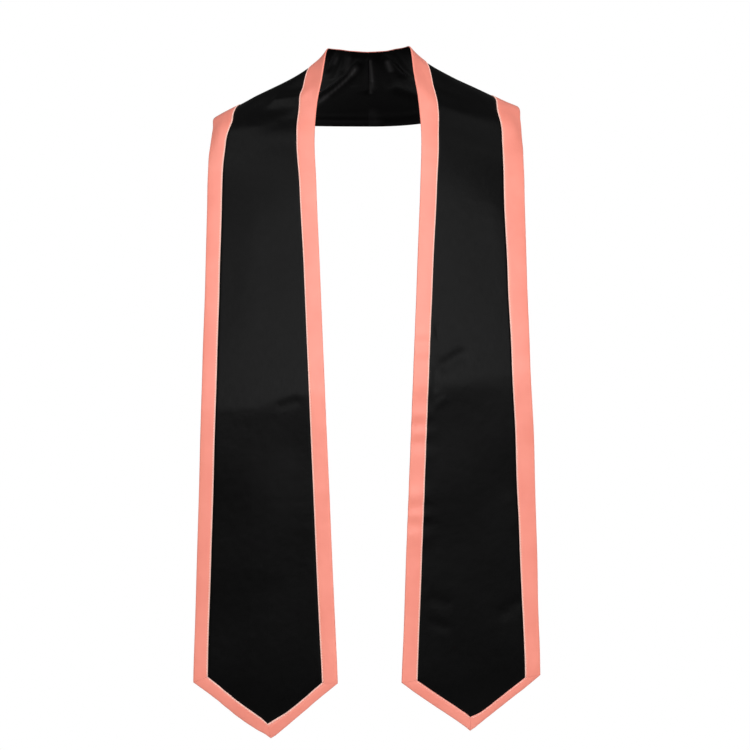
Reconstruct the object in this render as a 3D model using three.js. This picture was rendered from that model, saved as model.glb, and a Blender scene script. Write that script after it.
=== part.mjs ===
// Graduation stole of black satin with coral bands, hanging as it does when it is worn.
//
// Millimetres, +Z up. The origin is the centre back of the neck edge, on the wearer's side of the
// cloth. The front faces -Y and +X is the viewer's right, so left and right are the viewer's.

import * as THREE from 'three';

const { degToRad, lerp, smoothstep } = THREE.MathUtils;

// Cloth and bands
const CLOTH = 1.0; // the lining, and each piece of the face that is sewn over it
const CLEARANCE = 0.3; // between two pieces that lie against each other
const BAND_WIDTH = 16.5; // coral band along both long edges
const NECK_BAND_EXTRA = 1.5; // how much wider the inner band is round the neck
const POINT_BAND_DEPTH = 15; // coral band along the pointed end, measured down the cloth

// Front panels, from the neck edge down
const SHOULDER_WIDTH = 109;
const END_WIDTH = 141;
const PANEL_DROP = 621; // to the corners of the pointed end
const POINT_DEPTH = 51; // from the corners to the tip
const POINT_SHARE = 0.475; // the tip's place across the end, from the inner edge
const TIP_CURL = 4; // how far the tip bends back

// Neck and shoulders
const NECK_HALF_TOP = 41; // from the middle to the neck edge on top of the shoulder
const NECK_HALF_GAP = 50.9; // the same on the chest, where the panels are widest apart
const NECK_DEPTH = 48; // from the back of the neck forward to the top of the shoulder
const SHOULDER_ROLL = 8; // how far the shoulder's outer edge lies behind its neck edge
const BACK_REACH = 76; // how far the lower edge of the back lies behind the neck
const BACK_DROP = 69; // how far it lies below the neck
const BACK_CAMBER = 2; // swell of the cloth over the shoulder blades

// Chest
const CHEST_RISE = 67; // how far the chest comes forward of the shoulder
const CHEST_DROP = 153; // depth below which the panels lean straight
const CHEST_LEAN = degToRad(9.7);
const PANEL_CAMBER = 2.5; // swell of a panel across its width

// Crease left by folding, below which a panel hangs plumb
const CREASE_SOFTNESS = 24;
const LEFT_CREASE_DROP = 347.5;
const LEFT_CREASE_SLANT = 11.5; // how much lower its outer end lies
const RIGHT_CREASE_DROP = 330;
const RIGHT_CREASE_SLANT = -11.5;

// What differs between the halves
const LEFT_NECK_RISE = -1; // top of the shoulder above the back of the neck, at the neck edge
const LEFT_NECK_DIP = 6.5; // hollow of the cloth beside the neck
const LEFT_SHOULDER_DROP = 68; // from the neck edge to the shoulder's outer corner
const LEFT_TURN = degToRad(3); // how far the half's outer edge is turned back
const LEFT_END_GAP = 28; // from the middle to the inner corner of the end
const LEFT_END_LIFT = 0; // how much higher the outer corner hangs
const LEFT_BAND_EXTRA = 1; // how much wider the outer band is on the shoulder
const RIGHT_NECK_RISE = 1.5;
const RIGHT_NECK_DIP = 5.5;
const RIGHT_SHOULDER_DROP = 57.5;
const RIGHT_TURN = degToRad(15);
const RIGHT_END_GAP = 31.8;
const RIGHT_END_LIFT = 9;
const RIGHT_BAND_EXTRA = 7.5;

// Folds of the loose cloth behind the neck
const FOLD_HEIGHT = 3;
const FOLD_WIDTH = 6;

// Facets
const PANEL_FACETS = 5; // across a panel, from a band to the line of the tip
const END_FACETS = 5; // down the pointed end
const POINT_FACETS = 4; // along each band of the point

const HALVES = {
  left: {
    mirror: -1,
    neckRise: LEFT_NECK_RISE,
    neckDip: LEFT_NECK_DIP,
    shoulderDrop: LEFT_SHOULDER_DROP,
    turn: LEFT_TURN,
    endGap: LEFT_END_GAP,
    endLift: LEFT_END_LIFT,
    bandExtra: LEFT_BAND_EXTRA,
    creaseDrop: LEFT_CREASE_DROP,
    creaseSlant: LEFT_CREASE_SLANT,
  },
  right: {
    mirror: 1,
    neckRise: RIGHT_NECK_RISE,
    neckDip: RIGHT_NECK_DIP,
    shoulderDrop: RIGHT_SHOULDER_DROP,
    turn: RIGHT_TURN,
    endGap: RIGHT_END_GAP,
    endLift: RIGHT_END_LIFT,
    bandExtra: RIGHT_BAND_EXTRA,
    creaseDrop: RIGHT_CREASE_DROP,
    creaseSlant: RIGHT_CREASE_SLANT,
  },
};

// Sections of the back, from the middle to the shoulder. neckOut and neckForward place the neck
// edge, as shares of NECK_HALF_TOP and NECK_DEPTH. outward and backward place the lower edge, as
// shares of the way out to the shoulder's corner and of the way back from there to BACK_REACH.
// dip and swell are shares of the neck's dip and BACK_CAMBER, extra is a share of the bands' extra
// widths, and facets lead to the next section.
const BACK_ROWS = table(
  ['neckOut', 'neckForward', 'outward', 'backward', 'dip', 'swell', 'extra', 'facets'],
  [
    [0.0, 0.0, 0.0, 1.0, 0.7, 1.0, 0.0, 4],
    [0.37, 0.06, 0.3, 0.95, 0.8, 1.0, 0.2, 4],
    [0.68, 0.27, 0.57, 0.78, 0.9, 0.7, 0.5, 4],
    [0.9, 0.6, 0.79, 0.5, 1.0, 0.0, 0.8, 4],
  ],
);

// Sections of the front, from the top of the shoulder to the tip. drop and point add up to the
// depth, as shares of PANEL_DROP and POINT_DEPTH. spread and closing take the inner edge out to
// NECK_HALF_GAP and in to the end's gap, widening goes from SHOULDER_WIDTH to END_WIDTH, forward is
// a share of CHEST_RISE, roll takes the outer edge back by SHOULDER_ROLL, slant takes it down by
// the shoulder's drop, and dip, swell and extra are shares as above, of PANEL_CAMBER for swell.
const FRONT_ROWS = table(
  [
    'drop', 'point', 'spread', 'closing', 'widening', 'forward', 'roll', 'slant',
    'dip', 'swell', 'extra', 'facets',
  ],
  [
    [0.0, 0, 0.0, 0.0, 0.06, 0.0, 1.0, 1.0, 1.0, -0.8, 1.0, 3],
    [0.043, 0, 0.35, 0.0, 0.0, 0.27, 0.9, 0.79, 0.8, -0.4, 1.0, 3],
    [0.092, 0, 0.8, 0.0, -0.06, 0.51, 0.7, 0.68, 0.4, 0.1, 1.0, 3],
    [0.148, 0, 1.0, 0.0, -0.04, 0.75, 0.5, 0.53, 0.1, 0.6, 1.0, 3],
    [0.225, 0, 1.0, 0.05, 0.0, 0.95, 0.5, 0.35, 0.0, 1.0, 1.0, 3],
    [0.36, 0, 1.0, 0.2, 0.13, 1.0, 0.4, 0.08, 0.0, 1.0, 0.7, 4],
    [0.5, 0, 1.0, 0.37, 0.3, 1.0, 0.1, 0.0, 0.0, 1.0, 0.5, 4],
    [0.65, 0, 1.0, 0.57, 0.5, 1.0, 0.0, 0.0, 0.0, 1.0, 0.4, 2],
    [0.8, 0, 1.0, 0.75, 0.69, 1.0, 0.0, 0.0, 0.0, 0.9, 0.2, 1],
    [1.0, -1, 1.0, 0.88, 0.86, 1.0, 0.0, 0.0, 0.0, 0.6, 0.0, 1],
    [1.0, 0, 1.0, 1.0, 1.0, 1.0, 0.0, 0.0, 0.0, 0.3, 0.0, 1],
    [1.0, 1, 1.0, 1.0, 1.0, 1.0, 0.0, 0.0, 0.0, 0.0, 0.0, 0],
  ],
);

// All sections in order, with the swell as a length.
const ROWS = [
  ...BACK_ROWS.map((row) => ({ ...row, swell: BACK_CAMBER * row.swell })),
  ...FRONT_ROWS.map((row) => ({ ...row, swell: PANEL_CAMBER * row.swell })),
];
const TIP_ROW = ROWS.length - 1;
const CORNER_ROW = TIP_ROW - 1;
const FANNED_ROW = CORNER_ROW - 1; // from here the facets fan out to the pointed end
const STEP = 0.01; // for slopes, in rows and in shares across

// Ridges of the cloth behind the neck, from one place to another. Rows count from the middle of
// the back, across goes from the neck edge to the lower edge, and width and height are shares of
// FOLD_WIDTH and FOLD_HEIGHT.
const FOLDS = table(
  ['half', 'fromRow', 'fromAcross', 'toRow', 'toAcross', 'width', 'height'],
  [
    ['left', 0.0, 0.1, 0.0, 0.5, 0.8, 0.6],
    ['left', 0.55, 0.12, 1.56, 0.62, 1.0, 1.0],
    ['left', 1.3, 0.0, 1.15, 0.2, 0.7, 0.6],
    ['left', 2.4, 0.0, 2.2, 0.2, 0.7, 0.6],
    ['right', 0.0, 0.1, 0.0, 0.5, 0.8, 0.6],
    ['right', 1.1, 0.05, 1.5, 0.3, 0.8, 0.8],
    ['right', 1.0, 0.5, 2.0, 0.75, 1.2, 0.6],
  ],
);

const SATIN = new THREE.MeshStandardMaterial({ color: 0x141416, roughness: 0.4, metalness: 0 });
const CORAL = new THREE.MeshStandardMaterial({ color: 0xfd9f90, roughness: 0.5, metalness: 0 });

// Rows with the given column names.
function table(names, rows) {
  return rows.map((row) => Object.fromEntries(names.map((name, index) => [name, row[index]])));
}

// A smooth edge through its points, symmetrical about the middle of the back, by row number.
function edgeCurve(points) {
  const beyondMiddle = points[1].clone();
  beyondMiddle.x *= -1;
  const curve = new THREE.CatmullRomCurve3([beyondMiddle, ...points], false, 'centripetal');
  return (row) => curve.getPoint(Math.min((row + 1) / points.length, 1));
}

// A column of the section tables at any row, eased from one section to the next.
function columnAt(name, row) {
  const place = Math.min(Math.abs(row), TIP_ROW);
  const index = Math.min(Math.floor(place), TIP_ROW - 1);
  return lerp(ROWS[index][name], ROWS[index + 1][name], smoothstep(place - index, 0, 1));
}

// Unit vector out from the wearer, square to a surface, worked out for the right half.
function outward(surface, row, across) {
  const along = surface(Math.min(row + STEP, TIP_ROW), across).sub(surface(row - STEP, across));
  const over = surface(row, across + STEP).sub(surface(row, across - STEP));
  return along.cross(over).normalize();
}

// The hollow beside the neck across the cloth: 1 at its deepest, a quarter of the way out.
function neckHollow(across) {
  return (across * (1 - across) ** 3) / (0.25 * 0.75 ** 3);
}

// How far the pointed end reaches at a place across the cloth, as a share of POINT_DEPTH.
function pointShare(across) {
  return across < POINT_SHARE ? across / POINT_SHARE : (1 - across) / (1 - POINT_SHARE);
}

// The wearer's side of one half, as a surface over rows and places across. It is worked out for
// the right half, and the left one is its mirror image with its own sizes.
class HalfCloth {
  constructor(name) {
    this.name = name;
    this.half = HALVES[name];
    this.corner = this.frontSection(FRONT_ROWS[0]).hem;
    const sections = [
      ...BACK_ROWS.map((row) => this.backSection(row)),
      ...FRONT_ROWS.map((row) => this.frontSection(row)),
    ];
    this.neckEdge = edgeCurve(sections.map((section) => section.neck));
    this.hemEdge = edgeCurve(sections.map((section) => section.hem));
    this.folds = FOLDS.filter((fold) => fold.half === name).map((fold) => this.measureFold(fold));
  }

  backSection(row) {
    const neck = new THREE.Vector3(
      NECK_HALF_TOP * row.neckOut,
      -NECK_DEPTH * row.neckForward,
      this.half.neckRise * row.neckForward,
    );
    const hem = new THREE.Vector3(
      this.corner.x * row.outward,
      lerp(this.corner.y, BACK_REACH, row.backward),
      lerp(-BACK_DROP, this.corner.z, row.outward),
    );
    return { neck, hem };
  }

  frontSection(row) {
    const { neckRise, shoulderDrop, turn, endGap, endLift } = this.half;
    const depth = PANEL_DROP * row.drop + POINT_DEPTH * row.point - neckRise * row.slant;
    const lean = Math.tan(CHEST_LEAN) * Math.max(0, depth - CHEST_DROP);
    const curl = TIP_CURL * Math.max(0, row.point);
    const out = lerp(lerp(NECK_HALF_TOP, NECK_HALF_GAP, row.spread), endGap, row.closing);
    const forward = NECK_DEPTH + CHEST_RISE * row.forward + lean - curl;
    const width = lerp(SHOULDER_WIDTH, END_WIDTH, row.widening);
    const neck = new THREE.Vector3(out, -forward, -depth);
    const hem = new THREE.Vector3(
      out + width * Math.cos(turn),
      -forward + width * Math.sin(turn) + SHOULDER_ROLL * row.roll,
      -depth - shoulderDrop * row.slant + endLift * row.drop ** 2,
    );
    return { neck, hem };
  }

  // The cloth pulled straight from edge to edge.
  stretched(row, across) {
    return this.neckEdge(row).lerp(this.hemEdge(row), across);
  }

  // A length across the cloth as a share of its width, both measured square to one edge.
  shareAcross(length, row, inner) {
    const edge = inner ? this.neckEdge : this.hemEdge;
    const along = edge(Math.min(row + STEP, TIP_ROW)).sub(edge(row - STEP)).normalize();
    return length / this.hemEdge(row).sub(this.neckEdge(row)).cross(along).length();
  }

  // The seam between a band and the panel, or a place that far inside it, as a share of the width.
  seamShare(row, inner, beyond = 0) {
    const extra = (inner ? NECK_BAND_EXTRA : this.half.bandExtra) * columnAt('extra', row);
    return this.shareAcross(BAND_WIDTH + extra + beyond, row, inner);
  }

  // Lengths of cloth round a fold, both ways, for measuring the distance to it.
  measureFold(fold) {
    const row = (fold.fromRow + fold.toRow) / 2;
    const across = (fold.fromAcross + fold.toAcross) / 2;
    const width = this.neckEdge(row).distanceTo(this.hemEdge(row));
    const length = this.stretched(row - 0.5, across).distanceTo(this.stretched(row + 0.5, across));
    const place = (foldRow, foldAcross) => new THREE.Vector3(foldRow * length, foldAcross * width, 0);
    const line = new THREE.Line3(
      place(fold.fromRow, fold.fromAcross),
      place(fold.toRow, fold.toAcross),
    );
    return { ...fold, place, line };
  }

  foldHeight(row, across) {
    const nearest = new THREE.Vector3();
    let height = 0;
    for (const fold of this.folds) {
      const here = fold.place(Math.abs(row), across);
      fold.line.closestPointToPoint(here, true, nearest);
      const ratio = here.distanceTo(nearest) / (FOLD_WIDTH * fold.width);
      height += FOLD_HEIGHT * fold.height * Math.exp(-(ratio ** 2));
    }
    return height;
  }

  // Swell and hollows of the cloth, out from where it would be if it were pulled straight.
  bulge(row, across) {
    const swell = columnAt('swell', row) * 4 * across * (1 - across);
    const dip = this.half.neckDip * columnAt('dip', row) * neckHollow(across);
    return swell - dip + this.foldHeight(row, across);
  }

  // Depth below the crease, softened round it.
  belowCrease(depth, across) {
    const { creaseDrop, creaseSlant } = this.half;
    const below = depth - creaseDrop - creaseSlant * (across - 0.5);
    return (below + Math.hypot(below, CREASE_SOFTNESS)) / 2;
  }

  surface(row, across) {
    const out = outward((r, a) => this.stretched(r, a), row, across);
    const point = this.stretched(row, across).addScaledVector(out, this.bulge(row, across));
    point.y += Math.tan(CHEST_LEAN) * this.belowCrease(-point.z, across);
    return point;
  }

  // A point of a layer that lies a distance out from the wearer's side.
  layerPoint(row, across, lift) {
    const out = outward((r, a) => this.surface(r, a), row, across);
    const point = this.surface(row, across).addScaledVector(out, lift);
    point.x += CLEARANCE / 2;
    point.x *= this.half.mirror;
    return point;
  }
}

// Row numbers of the facets, down to the section where they fan out.
function straightStations() {
  const stations = [];
  for (let row = 0; row < FANNED_ROW; row += 1) {
    for (let facet = 0; facet < ROWS[row].facets; facet += 1) {
      stations.push(row + facet / ROWS[row].facets);
    }
  }
  return stations;
}

// Places of a piece that runs the whole length of a half. Each of its lines has its place across
// the cloth at a row, and how far short of the pointed edge it ends.
function lengthwise(lines) {
  const places = straightStations().map((row) => lines.map((line) => ({ row, across: line.across(row) })));
  for (let facet = 0; facet <= END_FACETS; facet += 1) {
    const share = facet / END_FACETS;
    const nominal = lerp(FANNED_ROW, CORNER_ROW, share);
    places.push(
      lines.map((line) => {
        const across = line.across(nominal);
        const end = CORNER_ROW + pointShare(across) - line.short / POINT_DEPTH;
        return { row: lerp(FANNED_ROW, end, share), across };
      }),
    );
  }
  return places;
}

// Lines of the panel across the cloth, from the seam of one band to the seam of the other. They
// start a gap inside the seams and end short of the pointed edge.
function panelLines(cloth, gap, short) {
  const lines = [];
  for (let step = 0; step <= 2 * PANEL_FACETS; step += 1) {
    const inner = step <= PANEL_FACETS;
    const share = inner ? step / PANEL_FACETS : 2 - step / PANEL_FACETS;
    const across = (row) => {
      const seam = cloth.seamShare(row, inner, gap);
      return inner ? lerp(seam, POINT_SHARE, share) : 1 - lerp(seam, 1 - POINT_SHARE, share);
    };
    lines.push({ across, short });
  }
  return lines;
}

// Places along one band of the point, from the end's corner to the tip's line.
function pointPlaces(cloth, inner) {
  const seam = cloth.seamShare(CORNER_ROW, inner);
  const tip = (inner ? POINT_SHARE : 1 - POINT_SHARE) - CLEARANCE / 2 / END_WIDTH;
  const placeAt = (share, start, short) => {
    const fromEdge = lerp(start, tip, share);
    const across = inner ? fromEdge : 1 - fromEdge;
    return { row: CORNER_ROW + pointShare(across) - short / POINT_DEPTH, across };
  };
  const places = [];
  for (let facet = 0; facet <= POINT_FACETS; facet += 1) {
    const share = facet / POINT_FACETS;
    const pair = [placeAt(share, 0, 0), placeAt(share, seam, POINT_BAND_DEPTH)];
    places.push(inner ? pair : pair.reverse());
  }
  return places;
}

// A closed wall of cloth over a grid of places, from one height above the wearer's side up.
function wall(cloth, places, lift) {
  const rows = places.length;
  const columns = places[0].length;
  const positions = [];
  for (const height of [lift, lift + CLOTH]) {
    for (const place of places.flat()) {
      positions.push(...cloth.layerPoint(place.row, place.across, height).toArray());
    }
  }
  const under = (row, column) => row * columns + column;
  const over = (row, column) => rows * columns + under(row, column);
  const indices = [];
  const quad = (a, b, c, d) => {
    indices.push(...(cloth.half.mirror > 0 ? [a, b, c, a, c, d] : [a, c, b, a, d, c]));
  };
  for (let row = 1; row < rows; row += 1) {
    for (let column = 1; column < columns; column += 1) {
      quad(over(row - 1, column - 1), over(row, column - 1), over(row, column), over(row - 1, column));
      quad(under(row - 1, column - 1), under(row - 1, column), under(row, column), under(row, column - 1));
    }
    const last = columns - 1;
    quad(under(row - 1, 0), under(row, 0), over(row, 0), over(row - 1, 0));
    quad(under(row, last), under(row - 1, last), over(row - 1, last), over(row, last));
  }
  for (let column = 1; column < columns; column += 1) {
    const last = rows - 1;
    quad(under(0, column), under(0, column - 1), over(0, column - 1), over(0, column));
    quad(under(last, column - 1), under(last, column), over(last, column), over(last, column - 1));
  }
  const geometry = new THREE.BufferGeometry();
  geometry.setAttribute('position', new THREE.Float32BufferAttribute(positions, 3));
  geometry.setIndex(indices);
  geometry.computeVertexNormals();
  return geometry;
}

function piece(name, cloth, places, lift, material) {
  const mesh = new THREE.Mesh(wall(cloth, places, lift), material);
  mesh.name = `${cloth.name}_${name}`;
  return mesh;
}

// The lining takes the whole shape, and the panel and the bands lie side by side over it.
function lining(cloth) {
  const lines = [{ across: () => 0, short: 0 }, ...panelLines(cloth, 0, 0), { across: () => 1, short: 0 }];
  return piece('lining', cloth, lengthwise(lines), 0, SATIN);
}

function panel(cloth) {
  const lines = panelLines(cloth, CLEARANCE, POINT_BAND_DEPTH + CLEARANCE);
  return piece('panel', cloth, lengthwise(lines), CLOTH + CLEARANCE, SATIN);
}

// A band along one long edge, mitred where it meets the band of the point.
function edgeBand(cloth, inner) {
  const edge = { across: () => (inner ? 0 : 1), short: CLEARANCE };
  const seamShare = (row) => cloth.seamShare(row, inner);
  const seam = {
    across: (row) => (inner ? seamShare(row) : 1 - seamShare(row)),
    short: POINT_BAND_DEPTH + CLEARANCE,
  };
  const name = inner ? 'inner_band' : 'outer_band';
  return piece(name, cloth, lengthwise(inner ? [edge, seam] : [seam, edge]), CLOTH + CLEARANCE, CORAL);
}

function pointBand(cloth, inner) {
  const name = inner ? 'inner_point_band' : 'outer_point_band';
  return piece(name, cloth, pointPlaces(cloth, inner), CLOTH + CLEARANCE, CORAL);
}

const stole = new THREE.Group();
for (const name of Object.keys(HALVES)) {
  const cloth = new HalfCloth(name);
  stole.add(lining(cloth), panel(cloth));
  for (const inner of [true, false]) {
    stole.add(edgeBand(cloth, inner), pointBand(cloth, inner));
  }
}

export default stole;
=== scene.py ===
"""Dresses a graduation stole: black satin panels and lining, coral bands, stitches and a studio.

Lengths are millimetres until a mesh is written, in metres. A place on the cloth is a row and a
share across. Rows count the sections from the centre back over the shoulder to the tip, and the
share runs from 0 at the neck edge to 1 at the outer edge. Lift is the distance out from the
wearer's side of the lining. Both halves are worked out on the viewer's right, and the left one is
mirrored.
"""

from __future__ import annotations

import logging
import math
from collections.abc import Callable
from dataclasses import dataclass
from enum import Enum

import bpy
import numpy as np
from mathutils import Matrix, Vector

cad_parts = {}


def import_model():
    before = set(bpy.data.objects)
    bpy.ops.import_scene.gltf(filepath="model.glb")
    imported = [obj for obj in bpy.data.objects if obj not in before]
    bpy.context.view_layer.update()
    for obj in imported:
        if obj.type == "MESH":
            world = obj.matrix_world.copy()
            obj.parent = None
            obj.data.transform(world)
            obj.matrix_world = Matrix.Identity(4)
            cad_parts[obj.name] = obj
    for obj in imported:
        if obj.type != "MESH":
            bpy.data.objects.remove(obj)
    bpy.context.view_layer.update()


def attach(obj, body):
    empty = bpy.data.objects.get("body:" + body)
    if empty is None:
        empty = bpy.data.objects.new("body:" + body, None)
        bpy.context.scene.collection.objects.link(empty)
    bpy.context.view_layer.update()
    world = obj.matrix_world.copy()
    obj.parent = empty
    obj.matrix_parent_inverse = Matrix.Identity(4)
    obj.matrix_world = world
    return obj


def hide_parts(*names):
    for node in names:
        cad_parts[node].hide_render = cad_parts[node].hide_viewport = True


LOG = logging.getLogger("stole")
BODY = "root"
MM = 0.001
STEP = 0.01  # for slopes, in rows and in shares across
SHARP_ANGLE = math.radians(62)
NOMINAL_WIDTH = 130.0  # of the cloth, where millimetres are made a share across
PATTERN_WIDTH = 125.0  # of the cloth, for waves and patterns

Array = np.ndarray
Surface = Callable[[Array, Array], Array]


def table(names: str, rows: list[tuple[float, ...]]) -> dict[str, Array]:
    """Columns of a table by name.

    Args:
        names: The column names, with spaces between them.
        rows: The rows of numbers.

    Returns:
        One array for each name.
    """
    return dict(zip(names.split(), np.array(rows, float).T))


# Sections of the back, as shares of the sizes in ClothSizes.
BACK_ROWS = table(
    "neck_out neck_forward outward backward dip swell extra",
    [
        (0.00, 0.00, 0.00, 1.00, 0.7, 1.0, 0.0),
        (0.37, 0.06, 0.30, 0.95, 0.8, 1.0, 0.2),
        (0.68, 0.27, 0.57, 0.78, 0.9, 0.7, 0.5),
        (0.90, 0.60, 0.79, 0.50, 1.0, 0.0, 0.8),
    ],
)

# Sections of the front, from the top of the shoulder to the tip.
FRONT_ROWS = table(
    "drop point spread closing widening forward roll slant dip swell extra",
    [
        (0.000, 0, 0.00, 0.00, 0.06, 0.00, 1.0, 1.00, 1.0, -0.8, 1.0),
        (0.043, 0, 0.35, 0.00, 0.00, 0.27, 0.9, 0.79, 0.8, -0.4, 1.0),
        (0.092, 0, 0.80, 0.00, -0.06, 0.51, 0.7, 0.68, 0.4, 0.1, 1.0),
        (0.148, 0, 1.00, 0.00, -0.04, 0.75, 0.5, 0.53, 0.1, 0.6, 1.0),
        (0.225, 0, 1.00, 0.05, 0.00, 0.95, 0.5, 0.35, 0.0, 1.0, 1.0),
        (0.360, 0, 1.00, 0.20, 0.13, 1.00, 0.4, 0.08, 0.0, 1.0, 0.7),
        (0.500, 0, 1.00, 0.37, 0.30, 1.00, 0.1, 0.00, 0.0, 1.0, 0.5),
        (0.650, 0, 1.00, 0.57, 0.50, 1.00, 0.0, 0.00, 0.0, 1.0, 0.4),
        (0.800, 0, 1.00, 0.75, 0.69, 1.00, 0.0, 0.00, 0.0, 0.9, 0.2),
        (1.000, -1, 1.00, 0.88, 0.86, 1.00, 0.0, 0.00, 0.0, 0.6, 0.0),
        (1.000, 0, 1.00, 1.00, 1.00, 1.00, 0.0, 0.00, 0.0, 0.3, 0.0),
        (1.000, 1, 1.00, 1.00, 1.00, 1.00, 0.0, 0.00, 0.0, 0.0, 0.0),
    ],
)

TIP_ROW = len(BACK_ROWS["dip"]) + len(FRONT_ROWS["dip"]) - 1
CORNER_ROW = TIP_ROW - 1
FANNED_ROW = CORNER_ROW - 1  # from here the mesh fans out to the pointed end

# Shares across over which shapes fade.
INNER_CALM = 0.07  # folds, beside the neck edge
OUTER_CALM = 0.05  # wrinkles, beside the outer edge
NECK_FADE = 0.12  # the neck edge's rise
HEM_FADE = 0.3  # the hem's rise
BAND_FADE = 0.06  # the depths of the point's bands, beside the tip
LEAN_FADE = 0.10  # the lean of the point's seams, beside the tip

RIDGE_NAMES = "from_row from_across to_row to_across width height"

# Ridges and hollows, in millimetres wide and high. The first ones of each half are the main folds
# behind the neck, which the solid model has too; the others are finer ones.
LEFT_RIDGES = table(
    RIDGE_NAMES,
    [
        (0.00, 0.10, 0.00, 0.50, 4.8, 1.8),
        (0.55, 0.12, 1.56, 0.62, 6.0, 3.0),
        (1.30, 0.00, 1.15, 0.20, 4.2, 1.8),
        (2.40, 0.00, 2.20, 0.20, 4.2, 1.8),
    ],
)
LEFT_WRINKLES = table(
    RIDGE_NAMES,
    [
        (0.00, 0.05, 0.02, 0.95, 1.6, 0.5),
        (0.70, 0.15, 1.60, 0.66, 2.0, 0.6),
        (1.05, 0.28, 1.90, 0.70, 5.0, -0.9),
        (1.70, 0.02, 1.55, 0.30, 3.0, -0.7),
        (0.00, 0.88, 3.40, 0.88, 4.5, 0.6),
        (0.45, 0.04, 0.55, 0.40, 3.5, -0.5),
        (7.00, 0.05, 5.30, 0.95, 19.0, 2.8),
        (4.15, 0.22, 4.10, 0.62, 12.0, 0.8),
        (5.42, 0.15, 4.98, 0.44, 8.0, 2.2),
        (10.46, 0.36, 10.42, 0.24, 4.5, -0.5),
        (11.10, 0.30, 12.20, 0.46, 12.0, 0.35),
        (8.30, 0.55, 9.60, 0.62, 14.0, 0.4),
    ],
)
RIGHT_RIDGES = table(
    RIDGE_NAMES,
    [
        (0.00, 0.10, 0.00, 0.50, 4.8, 1.8),
        (1.10, 0.05, 1.50, 0.30, 4.8, 2.4),
        (1.00, 0.50, 2.00, 0.75, 7.2, 1.8),
    ],
)
RIGHT_WRINKLES = table(
    RIDGE_NAMES,
    [
        (0.00, 0.05, 0.02, 0.95, 1.6, 0.5),
        (1.75, 0.04, 2.00, 0.34, 4.0, -0.9),
        (0.00, 0.88, 3.40, 0.88, 4.5, 0.6),
        (0.55, 0.10, 0.75, 0.45, 4.0, -0.5),
        (10.05, 0.265, 9.95, 0.385, 7.6, -1.7),
        (9.62, 0.185, 9.74, 0.20, 3.0, -0.8),
        (10.12, 0.18, 10.27, 0.19, 4.0, -0.8),
        (10.45, 0.21, 10.40, 0.26, 4.0, 0.4),
        (6.02, 0.05, 5.50, 0.95, 20.0, 2.8),
        (4.25, 0.50, 4.15, 0.95, 13.0, -1.2),
        (8.10, 0.70, 9.10, 0.78, 12.0, 0.45),
        (12.60, 0.21, 12.66, 0.31, 6.0, -0.5),
        (12.92, 0.22, 13.00, 0.30, 5.0, -0.4),
        (12.86, 0.74, 12.74, 0.84, 7.0, -0.5),
        (11.70, 0.84, 11.50, 0.80, 9.0, 0.4),
        (10.70, 0.89, 10.85, 0.94, 4.0, 0.4),
        (11.05, 0.90, 11.00, 0.95, 4.0, -0.4),
        (11.50, 0.94, 11.65, 0.90, 4.0, 0.4),
    ],
)

# How the dressed cloth differs from the solid model, in millimetres: how far each long edge is
# drawn in and how much wider each band is, row by row.
FIT_NAMES = "row inner_inset inner_band outer_inset outer_band"
LEFT_FIT = table(
    FIT_NAMES,
    [
        (0.0, 0.0, 0.0, 0.0, 0.0),
        (3.0, 0.0, 1.5, 0.0, 3.0),
        (4.0, -0.9, 3.2, 0.0, 7.8),
        (5.0, 0.3, 3.4, 0.5, 3.9),
        (6.0, 1.4, 0.4, 0.7, -0.6),
        (7.0, 1.6, -1.2, 2.5, -2.6),
        (8.0, 0.8, -2.1, 2.2, -3.1),
        (9.0, 0.5, -2.4, 2.0, -3.4),
        (10.0, 0.6, -2.2, 1.5, -3.1),
        (11.0, 1.1, -2.0, 1.1, -3.3),
        (12.0, 1.2, -1.7, 0.3, -3.2),
        (13.0, 0.8, -1.4, 0.6, -3.4),
        (14.0, 1.4, -1.8, 0.8, -2.9),
        (15.0, 1.4, -1.8, 0.8, -2.9),
    ],
)
RIGHT_FIT = table(
    FIT_NAMES,
    [
        (0.0, 0.0, 0.0, 0.0, 0.0),
        (3.0, 0.2, 2.5, -0.5, 1.0),
        (4.0, 0.3, 4.0, -1.0, 2.8),
        (5.0, 0.0, 5.0, -1.0, 2.3),
        (6.0, 0.3, 2.2, 0.5, -0.8),
        (7.0, 1.2, -0.6, 2.4, -1.8),
        (8.0, 1.2, -1.9, 2.5, -2.0),
        (9.0, 0.7, -2.5, 1.9, -1.5),
        (10.0, 0.5, -2.4, 1.4, -1.4),
        (11.0, 0.7, -2.3, -0.4, -0.6),
        (12.0, 0.5, -1.8, -0.5, -0.4),
        (13.0, 0.6, -1.9, 0.7, -0.7),
        (14.0, 0.7, -1.4, 1.0, -1.2),
        (15.0, 0.7, -1.4, 1.0, -1.2),
    ],
)

# How much higher the two edges hang than in the solid model, row by row.
LEFT_RISE = table(
    "row neck hem",
    [(0, 0.3, 0), (1, 1.0, 0), (2, 1.8, 0), (3, 1.6, 0), (4, -3.2, 0), (5, 0, 0), (15, 0, 0)],
)
RIGHT_RISE = table(
    "row neck hem",
    [(0, 0.3, 0), (1, 0.7, -2.2), (2, 2.0, -1.5), (3, 2.0, -0.5), (4, -1.5, 0), (5, 0.3, 0), (15, 0, 0)],
)

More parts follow.
